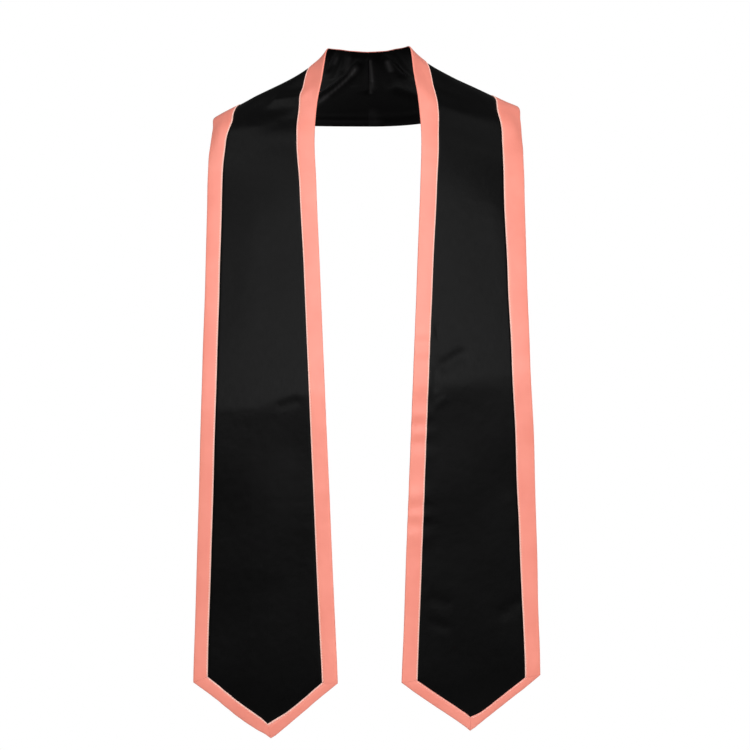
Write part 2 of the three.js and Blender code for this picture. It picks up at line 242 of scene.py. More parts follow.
# How much lower the pointed end hangs than two straight edges, by share across.
LEFT_BOW = table(
    "across down",
    [
        (0.00, -0.9), (0.08, -0.7), (0.15, -0.4), (0.22, 0.5), (0.29, 1.0), (0.36, 1.6),
        (0.43, 2.0), (0.465, 1.2), (0.50, 0.9), (0.57, 2.1), (0.64, 2.4), (0.70, 2.1),
        (0.77, 0.8), (0.84, -0.6), (0.91, -1.3), (1.00, -1.6),
    ],
)
RIGHT_BOW = table(
    "across down",
    [
        (0.00, -1.4), (0.10, -0.7), (0.24, -0.7), (0.31, -0.9), (0.38, -1.0), (0.45, -0.8),
        (0.492, 0.0), (0.53, 0.8), (0.59, 1.0), (0.66, 1.4), (0.74, 1.9), (0.81, 2.3),
        (0.88, 3.0), (1.00, 3.1),
    ],
)

# Crests that stand out of the lining behind the neck, with a painted highlight along them.
LEFT_CRESTS = table(
    RIDGE_NAMES,
    [
        (0.62, 0.21, 1.42, 0.67, 1.5, 0.7),
        (1.32, 0.61, 1.47, 0.70, 3.2, 0.4),
        (0.60, 0.19, 0.72, 0.26, 3.0, 0.3),
        (1.15, 0.08, 1.05, 0.22, 3.0, 0.25),
        (2.05, 0.08, 2.03, 0.12, 2.5, 0.3),
        (0.00, 0.93, 1.40, 0.93, 2.0, 0.12),
    ],
)
RIGHT_CRESTS = table(
    RIDGE_NAMES,
    [
        (0.11, 0.10, 0.15, 0.36, 1.3, 0.7),
        (0.15, 0.36, 0.09, 0.54, 1.3, 0.5),
        (0.13, 0.18, 0.13, 0.45, 4.0, 0.12),
        (0.10, 0.82, 0.10, 1.00, 5.0, 0.16),
        (0.10, 0.86, 0.10, 1.00, 0.8, -0.2),
        (1.05, 0.13, 1.07, 0.22, 2.6, 0.6),
        (0.00, 0.93, 0.30, 0.93, 2.0, 0.1),
    ],
)

# Depths of the two lines of each half's fold below the chest, by share across.
LEFT_CREASE = table(
    "across first second",
    [
        (0.00, 341.5, 341.5),
        (0.20, 341.6, 341.6),
        (0.27, 342.0, 342.5),
        (0.34, 344.5, 345.5),
        (0.40, 347.4, 348.6),
        (0.48, 351.5, 352.8),
        (0.60, 354.5, 356.0),
        (0.86, 355.0, 356.5),
        (1.00, 355.3, 356.8),
    ],
)
RIGHT_CREASE = table(
    "across first second",
    [
        (0.00, 334.0, 334.5),
        (0.275, 333.0, 334.4),
        (0.59, 325.2, 334.6),
        (0.83, 322.8, 334.6),
        (1.00, 321.4, 334.6),
    ],
)


class Side(Enum):
    """A half of the stole, as the viewer sees it."""

    LEFT = "left"
    RIGHT = "right"


class Edge(Enum):
    """A long edge of a half."""

    INNER = "inner"
    OUTER = "outer"


@dataclass(frozen=True)
class ClothSizes:
    """Sizes that both halves share, as in the solid model."""

    band_width: float = 16.5
    neck_band_extra: float = 1.5
    shoulder_width: float = 109.0
    end_width: float = 141.0
    panel_drop: float = 621.0
    point_depth: float = 51.0
    tip_curl: float = 4.0
    neck_half_top: float = 41.0
    neck_half_gap: float = 50.9
    neck_depth: float = 48.0
    shoulder_roll: float = 8.0
    back_reach: float = 76.0
    back_drop: float = 69.0
    back_camber: float = 2.0
    chest_rise: float = 67.0
    chest_drop: float = 153.0
    chest_lean: float = math.tan(math.radians(9.7))
    panel_camber: float = 2.5
    crease_softness: float = 3.5


@dataclass(frozen=True)
class HalfSizes:
    """What differs between the halves, and the folds of each."""

    mirror: float
    neck_rise: float
    neck_dip: float
    shoulder_drop: float
    turn: float
    end_gap: float
    end_lift: float
    band_extra: float
    crease: dict[str, Array]
    first_loss: float  # the share of the lean that the crease's first line takes away
    ridges: dict[str, Array]
    wrinkles: dict[str, Array]
    crests: dict[str, Array]
    crumple: float  # height of the crumples in the inner band below the chest
    fit: dict[str, Array]
    rise: dict[str, Array]
    bow: dict[str, Array]
    point_share: float
    seam_lean: float  # how far aside the seams meet above the tip, as a share across
    point_bands: dict[Edge, float]  # their depths, measured plumb
    tip_band: float  # their depth at the tip
    point_highlight: float  # how strong the painted highlight along their seam edges is, beside the other bands


HALVES = {
    Side.LEFT: HalfSizes(
        mirror=-1.0,
        neck_rise=-1.0,
        neck_dip=6.5,
        shoulder_drop=68.0,
        turn=math.radians(3),
        end_gap=28.0,
        end_lift=0.0,
        band_extra=1.0,
        crease=LEFT_CREASE,
        first_loss=0.5,
        ridges=LEFT_RIDGES,
        wrinkles=LEFT_WRINKLES,
        crests=LEFT_CRESTS,
        crumple=0.12,
        fit=LEFT_FIT,
        rise=LEFT_RISE,
        bow=LEFT_BOW,
        point_share=0.465,
        seam_lean=0.0225,
        point_bands={Edge.INNER: 12.4, Edge.OUTER: 14.8},
        tip_band=13.6,
        point_highlight=1.0,
    ),
    Side.RIGHT: HalfSizes(
        mirror=1.0,
        neck_rise=1.5,
        neck_dip=5.5,
        shoulder_drop=57.5,
        turn=math.radians(15),
        end_gap=31.8,
        end_lift=9.0,
        band_extra=7.5,
        crease=RIGHT_CREASE,
        first_loss=0.68,
        ridges=RIGHT_RIDGES,
        wrinkles=RIGHT_WRINKLES,
        crests=RIGHT_CRESTS,
        crumple=0.75,
        fit=RIGHT_FIT,
        rise=RIGHT_RISE,
        bow=RIGHT_BOW,
        point_share=0.492,
        seam_lean=0.002,
        point_bands={Edge.INNER: 12.6, Edge.OUTER: 9.6},
        tip_band=12.8,
        point_highlight=0.2,
    ),
}


def mix(start: Array | float, end: Array | float, share: Array | float) -> Array:
    """The value a share of the way from start to end."""
    return start + (end - start) * share


def bell(distance: Array, reach: float) -> Array:
    """A bell curve of the distance: e to the power of minus (distance over reach) squared."""
    return np.exp(-((distance / reach) ** 2))


def eased(rows: dict[str, Array], name: str, place: Array) -> Array:
    """A column of a table at any place, eased from each line to the next as 3 s s - 2 s s s.

    Args:
        rows: The table, whose first column holds the places of its lines.
        name: The column.
        place: The places asked for.

    Returns:
        The values there.
    """
    at, values = next(iter(rows.values())), rows[name]
    index = np.clip(np.searchsorted(at, place, side="right") - 1, 0, len(at) - 2)
    share = np.clip((place - at[index]) / (at[index + 1] - at[index]), 0, 1)
    return mix(values[index], values[index + 1], share * share * (3 - 2 * share))


def add_object(name: str, data: bpy.types.ID) -> bpy.types.Object:
    """Puts a new object with this data in the scene.

    Args:
        name: Its name.
        data: Its mesh, light or camera.

    Returns:
        The object.
    """
    added = bpy.data.objects.new(name, data)
    bpy.context.collection.objects.link(added)
    return added


@dataclass(frozen=True)
class Waves:
    """Slow waves of the cloth. Each length and width is the millimetres for a radian."""

    checked: float = 0.28  # height of the waves that run both ways
    checked_length: float = 17.0
    checked_width: float = 23.0
    bend: float = 0.4  # radians by which these wander
    bend_length: float = 41.0
    slanted: float = 0.20  # height of the waves that run at a slant
    slanted_length: float = 29.0
    slanted_width: float = 37.0
    turn: float = 0.9  # radians, by which the halves differ
    growth: float = 60.0  # millimetres from the centre back to their full height

    def height(self, length: Array, aside: Array, mirror: float) -> Array:
        """The sum of a product of two sines and a slanted sine.

        Args:
            length: Millimetres from the centre back.
            aside: Millimetres from the neck edge.
            mirror: Which half, 1 or -1.

        Returns:
            The height at each place.
        """
        turn = self.turn * mirror
        bend = self.bend * np.sin(length / self.bend_length)
        along = np.sin(length / self.checked_length + turn)
        over = np.sin(aside / self.checked_width + bend)
        slant = np.sin(length / self.slanted_length + aside / self.slanted_width + turn)
        waves = self.checked * along * over + self.slanted * slant
        return waves * np.clip(length / self.growth, 0, 1)


@dataclass(frozen=True)
class Crumples:
    """Crumples of the inner band, one high."""

    rows: tuple[float, float] = (9.3, 12.2)  # where they start and stop
    fade: float = 8.0  # millimetres, over which they start and stop
    radian: float = 4.1  # millimetres
    wander: float = 1.6  # radians
    wander_radian: float = 13.0  # millimetres
    reach: float = 17.0  # millimetres from the neck edge
    calm: float = 0.6  # how much lower they are at the very edge
    calm_reach: float = 4.5

    def height(self, length: Array, aside: Array, start: float, stop: float) -> Array:
        """A wandering sine between two smooth steps, which fades away from the neck edge.

        Args:
            length: Millimetres from the centre back.
            aside: Millimetres from the neck edge.
            start: Length at which they start.
            stop: Length at which they stop.

        Returns:
            The height at each place.
        """
        started = 1 / (1 + np.exp((start - length) / self.fade))
        stopped = 1 / (1 + np.exp((length - stop) / self.fade))
        ripple = np.sin(length / self.radian + self.wander * np.sin(length / self.wander_radian))
        near_edge = bell(aside, self.reach) - self.calm * bell(aside, self.calm_reach)
        return ripple * started * stopped * near_edge


class EdgeCurve:
    """A smooth edge through its sections, symmetrical about the centre back.

    Each stretch is a centripetal Catmull-Rom cubic: its end slopes come from the neighbouring
    sections, with knots spaced by the square root of the distance between them.
    """

    def __init__(self, points: Array) -> None:
        """Works out the cubics.

        Args:
            points: One point for each section, in order.
        """
        inner = np.vstack([points[1] * (-1, 1, 1), points])
        knots = np.vstack([2 * inner[0] - inner[1], inner, 2 * inner[-1] - inner[-2]])
        before, start, end, after = knots[:-3], knots[1:-2], knots[2:-1], knots[3:]
        gaps = np.sqrt(np.linalg.norm(np.diff(knots, axis=0), axis=1))[:, None]
        gap0, gap1, gap2 = gaps[:-2], gaps[1:-1], gaps[2:]
        slope0 = (start - before) / gap0 - (end - before) / (gap0 + gap1) + (end - start) / gap1
        slope1 = (end - start) / gap1 - (after - start) / (gap1 + gap2) + (after - end) / gap2
        slope0, slope1 = slope0 * gap1, slope1 * gap1
        square = 3 * (end - start) - 2 * slope0 - slope1
        cube = 2 * (start - end) + slope0 + slope1
        self.cubics = np.stack([start, slope0, square, cube])

    def __call__(self, row: Array) -> Array:
        """Points at any rows.

        Args:
            row: The rows, from just below 0 to the tip's.

        Returns:
            The points, with a last axis of x, y and z.
        """
        place = row + 1
        index = np.clip(place.astype(int), 0, self.cubics.shape[1] - 1)
        share = (place - index)[..., None]
        level, slope, square, cube = self.cubics[:, index]
        return level + share * (slope + share * (square + share * cube))


class HalfCloth:
    """One half of the stole as a surface that every piece of it lies on."""

    def __init__(self, side: Side, sizes: ClothSizes) -> None:
        """Works out the two edges.

        Args:
            side: Which half.
            sizes: The sizes that both halves share.
        """
        self.side = side
        self.sizes = sizes
        self.half = HALVES[side]
        front_neck, front_outer = self._front_sections()
        back_neck, back_outer = self._back_sections(front_outer[0])
        self.neck_edge = EdgeCurve(np.vstack([back_neck, front_neck]))
        self.outer_edge = EdgeCurve(np.vstack([back_outer, front_outer]))
        self.columns = self._shape_columns()
        self.fine_rows = np.linspace(0, TIP_ROW, 1200)
        middle = self.surface(self.fine_rows, np.full_like(self.fine_rows, 0.5))
        steps = np.linalg.norm(np.diff(middle, axis=0), axis=1)
        self.fine_lengths = np.concatenate([[0], np.cumsum(steps)])

    def _front_sections(self) -> tuple[Array, Array]:
        """The neck edge and outer edge of each front section."""
        sizes, half, rows = self.sizes, self.half, FRONT_ROWS
        depth = sizes.panel_drop * rows["drop"] + sizes.point_depth * rows["point"]
        depth = depth - half.neck_rise * rows["slant"]
        lean = sizes.chest_lean * np.maximum(0, depth - sizes.chest_drop)
        curl = sizes.tip_curl * np.maximum(0, rows["point"])
        out = mix(sizes.neck_half_top, sizes.neck_half_gap, rows["spread"])
        out = mix(out, half.end_gap, rows["closing"])
        forward = sizes.neck_depth + sizes.chest_rise * rows["forward"] + lean - curl
        width = mix(sizes.shoulder_width, sizes.end_width, rows["widening"])
        neck = np.column_stack([out, -forward, -depth])
        outer = neck + np.column_stack(
            [
                width * math.cos(half.turn),
                width * math.sin(half.turn) + sizes.shoulder_roll * rows["roll"],
                half.end_lift * rows["drop"] ** 2 - half.shoulder_drop * rows["slant"],
            ]
        )
        return neck, outer

    def _back_sections(self, corner: Array) -> tuple[Array, Array]:
        """The neck edge and lower edge of each back section.

        Args:
            corner: The shoulder's outer corner.

        Returns:
            The points of both edges.
        """
        sizes, rows = self.sizes, BACK_ROWS
        neck = np.column_stack(
            [
                sizes.neck_half_top * rows["neck_out"],
                -sizes.neck_depth * rows["neck_forward"],
                self.half.neck_rise * rows["neck_forward"],
            ]
        )
        lower = np.column_stack(
            [
                corner[0] * rows["outward"],
                mix(corner[1], sizes.back_reach, rows["backward"]),
                mix(-sizes.back_drop, corner[2], rows["outward"]),
            ]
        )
        return neck, lower

    def _shape_columns(self) -> dict[str, Array]:
        """The row, dip, swell and extra band width of every section, back and front."""
        sizes = self.sizes
        swell = [sizes.back_camber * BACK_ROWS["swell"], sizes.panel_camber * FRONT_ROWS["swell"]]
        return {
            "row": np.arange(TIP_ROW + 1.0),
            "dip": np.concatenate([BACK_ROWS["dip"], FRONT_ROWS["dip"]]),
            "swell": np.concatenate(swell),
            "extra": np.concatenate([BACK_ROWS["extra"], FRONT_ROWS["extra"]]),
        }

    def column(self, name: str, row: Array) -> Array:
        """A column of the sections at any row, the same on both sides of the centre back."""
        return eased(self.columns, name, np.abs(row))

    def stretched(self, row: Array, across: Array) -> Array:
        """The cloth pulled straight from edge to edge."""
        return mix(self.neck_edge(row), self.outer_edge(row), across[..., None])

    def outward(self, surface: Surface, row: Array, across: Array) -> Array:
        """Unit vectors square to a surface: the cross product of its two slopes.

        Args:
            surface: The surface.
            row: Rows of the places.
            across: Their shares across.

        Returns:
            One vector for each place, away from the wearer.
        """
        row = np.minimum(row, TIP_ROW - STEP)
        along = surface(row + STEP, across) - surface(row - STEP, across)
        over = surface(row, across + STEP) - surface(row, across - STEP)
        square = np.cross(along, over)
        return square / np.linalg.norm(square, axis=-1, keepdims=True)

    def ridge_height(self, ridges: dict[str, Array], row: Array, across: Array) -> Array:
        """Height of ridges, each falling off as a bell curve from its line.

        Args:
            ridges: Their table.
            row: Rows of the places.
            across: Their shares across.

        Returns:
            The height at each place.
        """
        height = np.zeros(np.broadcast(row, across).shape)
        for from_row, from_across, to_row, to_across, width, tall in zip(*ridges.values()):
            middle = np.array([(from_row + to_row) / 2])
            half_across = np.array([(from_across + to_across) / 2])
            wide = np.linalg.norm(self.neck_edge(middle) - self.outer_edge(middle))
            before = self.stretched(middle - 0.5, half_across)
            long = np.linalg.norm(self.stretched(middle + 0.5, half_across) - before)
            start = np.array([from_row * long, from_across * wide])
            way = np.array([to_row * long, to_across * wide]) - start
            place = np.stack([np.abs(row) * long, across * wide], axis=-1) - start
            share = np.clip(place @ way / max(way @ way, 1e-9), 0, 1)
            distance = np.linalg.norm(place - share[..., None] * way, axis=-1)
            height = height + tall * bell(distance, width)
        return height

    def surface(self, row: Array, across: Array) -> Array:
        """The wearer's side: the stretched cloth with its swell, dips, folds and crease.

        The swell is a parabola across the cloth. The dip beside the neck follows a(1 - a) cubed,
        deepest a quarter of the way out. At each of the two lines of the crease the cloth loses
        its share of the lean, through a hyperbola of the crease's softness.

        Args:
            row: Rows of the places.
            across: Their shares across.

        Returns:
            Points on the viewer's right, in millimetres.
        """
        sizes, half = self.sizes, self.half
        hollow = across * (1 - across) ** 3 / (0.25 * 0.75**3)
        bulge = self.column("swell", row) * 4 * across * (1 - across)
        bulge = bulge - half.neck_dip * self.column("dip", row) * hollow
        folds = self.ridge_height(half.ridges, row, across)
        bulge = bulge + folds * (1 - bell(across, INNER_CALM))
        out = self.outward(self.stretched, row, across)
        point = self.stretched(row, across) + out * bulge[..., None]
        for line, loss in (("first", half.first_loss), ("second", 1 - half.first_loss)):
            below = -point[..., 2] - np.interp(across, half.crease["across"], half.crease[line])
            below = (below + np.hypot(below, sizes.crease_softness)) / 2
            point[..., 1] += sizes.chest_lean * loss * below
        return point

    def relief(self, row: Array, across: Array) -> Array:
        """Fine wrinkles, slow waves of the cloth and crumples of the inner band.

        Args:
            row: Rows of the places.
            across: Their shares across.

        Returns:
            The height at each place, in millimetres.
        """
        length = self.length_at(np.abs(row))
        aside = across * PATTERN_WIDTH
        waves = Waves().height(length, aside, self.half.mirror)
        start, stop = self.length_at(np.array(Crumples.rows))
        crumples = self.half.crumple * Crumples().height(length, aside, start, stop)
        wrinkles = self.ridge_height(self.half.wrinkles, row, across)
        edges = bell(across, INNER_CALM) + bell(1 - across, OUTER_CALM)
        return wrinkles * (1 - edges) + waves + crumples

    def fitted(self, row: Array, across: Array) -> Array:
        """Shares across the solid model for shares across the dressed cloth.

        Args:
            row: Rows of the places.
            across: Their shares across, from edge to edge of the dressed cloth.

        Returns:
            Their shares across the solid model.
        """
        width = np.linalg.norm(self.outer_edge(row) - self.neck_edge(row), axis=-1)
        first = eased(self.half.fit, "inner_inset", row) / width
        last = eased(self.half.fit, "outer_inset", row) / width
        return first + (1 - first - last) * across

    def layer(self, row: Array, across: Array, lift: Array | float) -> Array:
        """Points of a layer, mirrored to the half's own side and in metres.

        Args:
            row: Rows of the places.
            across: Their shares across.
            lift: Their lifts.

        Returns:
            The points.
        """
        across = self.fitted(row, across)
        out = self.outward(self.surface, row, across)
        point = self.surface(row, across) + out * (lift + self.relief(row, across))[..., None]
        rise = self.half.rise
        point[..., 2] += eased(rise, "neck", row) * bell(across, NECK_FADE)
        point[..., 2] += eased(rise, "hem", row) * bell(1 - across, HEM_FADE)
        point[..., 0] *= self.half.mirror
        return point * MM

    def length_at(self, row: Array) -> Array:
        """Length along the middle of the cloth from the centre back to a row."""
        return np.interp(row, self.fine_rows, self.fine_lengths)

    def rows_at(self, length: Array) -> Array:
        """Rows at lengths along the middle of the cloth."""
        return np.interp(length, self.fine_lengths, self.fine_rows)

    def width_square_to(self, edge: Edge, row: Array) -> Array:
        """Width of the cloth measured square to one edge.

        Args:
            edge: The edge.
            row: The rows.

        Returns:
            The width at each row.
        """
        curve = self.neck_edge if edge is Edge.INNER else self.outer_edge
        row = np.minimum(row, TIP_ROW - STEP)
        along = curve(row + STEP) - curve(row - STEP)
        along = along / np.linalg.norm(along, axis=-1, keepdims=True)
        rung = self.outer_edge(row) - self.neck_edge(row)
        inset = eased(self.half.fit, "inner_inset", row) + eased(self.half.fit, "outer_inset", row)
        return np.linalg.norm(np.cross(rung, along), axis=-1) - inset

    def band_width(self, edge: Edge, row: Array) -> Array:
        """Width of a coral band at the rows."""
        extra = self.sizes.neck_band_extra if edge is Edge.INNER else self.half.band_extra
        fit = eased(self.half.fit, f"{edge.value}_band", row)
        return self.sizes.band_width + extra * self.column("extra", row) + fit

    def point_reach(self, across: Array) -> Array:
        """How far the pointed end reaches below its corners, as a share of its depth."""
        tip = self.half.point_share
        reach = np.where(across < tip, across / tip, (1 - across) / (1 - tip))
        return reach + eased(self.half.bow, "down", across) / self.sizes.point_depth

    def point_band(self, edge: Edge, across: Array) -> Array:
        """Plumb depth of a band of the point, which nears the tip's depth by a bell curve.

        Args:
            edge: The long edge that the band starts from.
            across: Shares across of the places.

        Returns:
            The depth at each place.
        """
        near_tip = bell(across - self.half.point_share, BAND_FADE)
        return mix(self.half.point_bands[edge], self.half.tip_band, near_tip)

    def under_tip(self, across: Array, part: Array | float) -> Array:
        """Shares across of the edge below places in the point's bands, which lean near the tip.

        Args:
            across: Shares across of the places.
            part: How far each is from the edge towards the seam, from 0 to 1.

        Returns:
            The shares, moved by a bell curve round the tip.
        """
        near_tip = bell(across - self.half.point_share, LEAN_FADE)
        return across - self.half.seam_lean * part * near_tip

    def uv(self, row: Array, across: Array) -> Array:
        """Metres across and along the cloth, for patterns that follow it."""
        return np.stack([across * PATTERN_WIDTH, self.length_at(np.abs(row))], axis=-1) * MM


@dataclass(frozen=True)
class StripLayout:
    """Where the points of a closed strip lie: one line for each station, one column for each
    point round its section. The first half of the columns is the side away from the wearer, and
    the second half runs back along the wearer's side."""

    row: Array
    across: Array
    lift: Array
    flip: bool = False  # the columns run from the outer edge inwards
    crest_highlight: Array | None = None  # how strong the painted highlight is at each point, from 0 to 1

    def quads(self) -> Array:
        """Corners of every face: round the section between stations, then both ends."""
        count, round_count = self.row.shape
        index = np.arange(count * round_count).reshape(count, round_count)
        after = np.roll(index, -1, axis=1)
        wall = np.stack([index[:-1], index[1:], after[1:], after[:-1]], axis=-1).reshape(-1, 4)
        ends = []
        for line, reverse in ((index[0], False), (index[-1], True)):
            top, back = line[: round_count // 2], line[round_count // 2 :][::-1]
            end = np.stack([top[:-1], top[1:], back[1:], back[:-1]], axis=-1)
            ends.append(end[:, ::-1] if reverse else end)
        return np.concatenate([wall, *ends])

    def piece(self, name: str, cloth: HalfCloth) -> bpy.types.Object:
        """Makes the strip's object.

        Args:
            name: Its name.
            cloth: The half it belongs to.

        Returns:
            The object, with its UV map in metres.
        """
        faces = self.quads()
        if self.flip != (cloth.half.mirror < 0):
            faces = faces[:, ::-1]
        points = cloth.layer(self.row, self.across, self.lift).reshape(-1, 3)
        mesh = bpy.data.meshes.new(name)
        mesh.from_pydata(points, [], faces)
        mesh.shade_smooth()
        mesh.set_sharp_from_angle(angle=SHARP_ANGLE)
        chart = mesh.uv_layers.new(name="weave")
        uv = cloth.uv(self.row, self.across).reshape(-1, 2)[faces.reshape(-1)]
        chart.uv.foreach_set("vector", uv.astype(np.float32).reshape(-1))
        mesh.update()
        if self.crest_highlight is not None:
            crest_highlight = np.broadcast_to(np.clip(self.crest_highlight, 0, 1), self.row.shape)
            painted_highlight = mesh.attributes.new("crest_highlight", "FLOAT", "POINT")
            painted_highlight.data.foreach_set("value", crest_highlight.astype(np.float32).reshape(-1))
        return add_object(name, mesh)


# The section of a band from its folded edge to its seam: a share of its width plus millimetres.
BAND_TOP = table(
    "share offset lift",
    [
        (0, -0.45, 1.00),
        (0, -0.40, 1.40),
        (0, -0.20, 1.75),
        (0, 0.20, 2.00),
        (0, 0.90, 2.12),
        (0.2, 0, 2.30),
        (0.4, 0, 2.36),
        (0.6, 0, 2.34),
        (0.8, 0, 2.24),
        (1, -1.90, 2.18),
        (1, -1.40, 2.06),
        (1, -1.00, 1.90),
        (1, -0.75, 2.02),
        (1, -0.48, 2.14),
        (1, -0.25, 2.12),
        (1, -0.08, 2.00),
        (1, 0.00, 1.80),
        (1, -0.03, 1.56),
    ],
)

# A stitch from end to end: shares of its length from its middle, and how far it stands out.
STITCH = table("along lift", [(-0.5, 1.62), (-0.36, 1.97), (0, 2.06), (0.36, 1.97), (0.5, 1.62)])

BAND_UNDER_LIFT = 0.95
BAND_OVER_PANEL_LIFT = 1.52
STITCH_INSET = 1.0
STITCH_LIFT = 1.9
BAND_CLEARANCE = 0.3  # beside the panel's hidden edge
MITRE_GAP = 0.06


@dataclass(frozen=True)
class Stitching:
    """A row of separate stitches of round thread."""

    pitch: float = 2.6
    length: float = 2.15
    radius: float = 0.24
    sides: int = 6

    def piece(self, name: str, cloth: HalfCloth, row: Array, across: Array) -> bpy.types.Object:
        """Makes the stitches along a line.

        Each stitch is a short tube that rises out of the cloth, runs along it and dives back.

        Args:
            name: The object's name.
            cloth: The half it belongs to.
            row: Rows of points along the line, close together.
            across: Their shares across.

        Returns:
            The object.
        """
        line = cloth.layer(row, across, np.full_like(row, STITCH_LIFT)) / MM
        steps = np.linalg.norm(np.diff(line, axis=0), axis=1)
        length = np.concatenate([[0], np.cumsum(steps)])
        count = int((length[-1] - self.pitch) // self.pitch)
        middles = length[-1] / 2 + (np.arange(count) - (count - 1) / 2) * self.pitch
        places = middles[:, None] + STITCH["along"] * self.length
        rows, shares = np.interp(places, length, row), np.interp(places, length, across)
        centre = cloth.layer(rows, shares, np.broadcast_to(STITCH["lift"], rows.shape))
        up = cloth.layer(rows, shares, STITCH["lift"] + 1.0) - centre
        up /= np.linalg.norm(up, axis=-1, keepdims=True)
        way = centre[:, -1:] - centre[:, :1]
        way = way / np.linalg.norm(way, axis=-1, keepdims=True)
        side = np.cross(up, way)
        angle = np.arange(self.sides) * 2 * np.pi / self.sides
        ring = np.cos(angle)[:, None] * side[:, :, None] + np.sin(angle)[:, None] * up[:, :, None]
        points = centre[:, :, None] + ring * self.radius * MM
        count, rings = rows.shape
        index = np.arange(count * rings * self.sides).reshape(count, rings, self.sides)
        after = np.roll(index, -1, axis=2)
        wall = np.stack([index[:, :-1], after[:, :-1], after[:, 1:], index[:, 1:]], axis=-1)
        faces = wall.reshape(-1, 4).tolist()
        faces += index[:, 0, ::-1].tolist() + index[:, -1].tolist()
        mesh = bpy.data.meshes.new(name)
        mesh.from_pydata(points.reshape(-1, 3), [], faces)
        mesh.shade_smooth()
        mesh.update()
        return add_object(name, mesh)


@dataclass
class HalfStole:
    """One half: lining, panel, four bands and their stitches."""

    cloth: HalfCloth
    spacing: float = 2.45
    lining_thickness: float = 0.6
    panel_lift: float = 0.9
    panel_thickness: float = 0.6
    tucked: float = 3.0  # how far the panel runs under the bands
    plumb: float = 1.25  # the point's edges slant, so its band is deeper measured plumb
    seam_groove: float = 0.2
    groove_reach: float = 1.2
    pulled_in: float = 0.4  # depth of the panel's dip beside a band
    crest_height: float = 1.0  # how far a full crest stands out of the lining
    highlight_reach: float = 0.8  # of the painted highlight on the pressed edge beside a seam
    grooved_above: float = 1.6  # lift of the side of a band that the centre back seam draws in
    end_spacing: float = 7.8  # where the closer stations begin, above the end
    end_steps: tuple[float, ...] = (6.6, 5.6, 4.9, 4.3, 3.8, 3.3, 2.6, 1.6, 0.7, 0.25, 0.0)
    lining_rim: tuple[float, ...] = (0.0, 0.2, 0.6, 1.5, 3.0, 4.5)
    panel_rim: tuple[float, ...] = (3.0, 1.2, 0.3, -0.2, -0.6, -1.1, -1.7, -2.6)
    edge_round: float = 0.22  # how much thinner the lining is at its edge
    edge_curl: float = 0.25  # how far the lining's edge curls out
    curl_reach: float = 4.0
    stitching: Stitching = Stitching()

    def _rows(self, end: Array) -> Array:
        """Rows of every station: level down to the fanned part, then spread to the end rows.

        Args:
            end: The end row of each column.

        Returns:
            One line for each station, closer together over the last few millimetres.
        """
        fanned = self.cloth.length_at(np.array([0.0, FANNED_ROW, CORNER_ROW + 0.5]))
        count = int(fanned[1] / self.spacing)
        level = self.cloth.rows_at(np.linspace(0, fanned[1], count, endpoint=False))
        long = fanned[2] - fanned[1]
        near = 1 - np.array(self.end_steps) / long
        share = np.linspace(0, 1 - self.end_spacing / long, int(long / self.spacing))
        share = np.concatenate([share, near])[:, None]
        top = np.broadcast_to(level[:, None], (count, len(end)))
        return np.vstack([top, mix(FANNED_ROW, end, share)])

    def _groove(self, row: Array) -> Array:
        """How deep the cloth is drawn in at the centre back seam."""
        return self.seam_groove * bell(self.cloth.length_at(row), self.groove_reach)

    def _seam(self, edge: Edge, row: Array, inset: float) -> Array:
        """Share across of a line beside a band's seam.

        Args:
            edge: The band's long edge.
            row: The rows.
            inset: Millimetres from the seam towards the edge.

        Returns:
            The shares.
        """
        cloth = self.cloth
        beside = (cloth.band_width(edge, row) - inset) / cloth.width_square_to(edge, row)
        return beside if edge is Edge.INNER else 1 - beside

    def _corner_share(self, edge: Edge) -> float:
        """How far from the edge a band's seam is at the corner above the point, as a share."""
        share = float(self._seam(edge, np.array([float(CORNER_ROW)]), 0.0)[0])
        return share if edge is Edge.INNER else 1 - share

    def _mitre(self, edge: Edge, part: Array) -> Array:
        """Rows of a mitre line, from the corner to the seam.

        Args:
            edge: The long edge it starts from.
            part: Shares of the way.

        Returns:
            The rows.
        """
        cloth = self.cloth
        beside = self._corner_share(edge) * part
        reach = cloth.point_reach(beside if edge is Edge.INNER else 1 - beside)
        return CORNER_ROW + reach - part * cloth.half.point_bands[edge] / cloth.sizes.point_depth

    def _point_depth(self, across: Array) -> Array:
        """Plumb depth of the point's bands on either side of the tip."""
        cloth = self.cloth
        inner, outer = cloth.point_band(Edge.INNER, across), cloth.point_band(Edge.OUTER, across)
        return np.where(across < cloth.half.point_share, inner, outer)

    def lining(self) -> bpy.types.Object:
        """The lining: a thin strip from edge to edge whose edges curl slightly outwards."""
        cloth, tip = self.cloth, self.cloth.half.point_share
        rim = np.array(self.lining_rim) / NOMINAL_WIDTH
        inner = np.linspace(rim[-1], tip, 46)
        outer = np.linspace(tip, 1 - rim[-1], 50)[1:-1]
        share = np.concatenate([rim[:-1], inner, outer, 1 - rim[::-1]])
        across = np.concatenate([share, share[::-1]])
        rows = self._rows(CORNER_ROW + cloth.point_reach(across) - 0.2 / cloth.sizes.point_depth)
        across = np.broadcast_to(across, rows.shape)
        beside = np.minimum(across, 1 - across) * NOMINAL_WIDTH
        curl = self.edge_curl * bell(beside, self.curl_reach)
        rounding = self.edge_round * np.exp(-beside / 0.25)
        top = self.lining_thickness - rounding - self._groove(rows)
        # The crests stand out of the wearer's side, and the same shares paint a highlight tone on them.
        crest_highlight = cloth.ridge_height(cloth.half.crests, rows, across)
        under = rounding - self.crest_height * crest_highlight
        is_top = np.arange(rows.shape[1]) < rows.shape[1] // 2
        layout = StripLayout(rows, across, np.where(is_top, top, under) + curl, crest_highlight=crest_highlight)
        return layout.piece(f"{cloth.side.value}_lining_cloth", cloth)

    def panel(self) -> bpy.types.Object:
        """The black front cloth, tucked under the bands on all sides and pulled in beside them."""
        cloth, tip = self.cloth, self.cloth.half.point_share
        rim = np.array(self.panel_rim)
        fill = np.linspace(0, 1, 38)[1:]

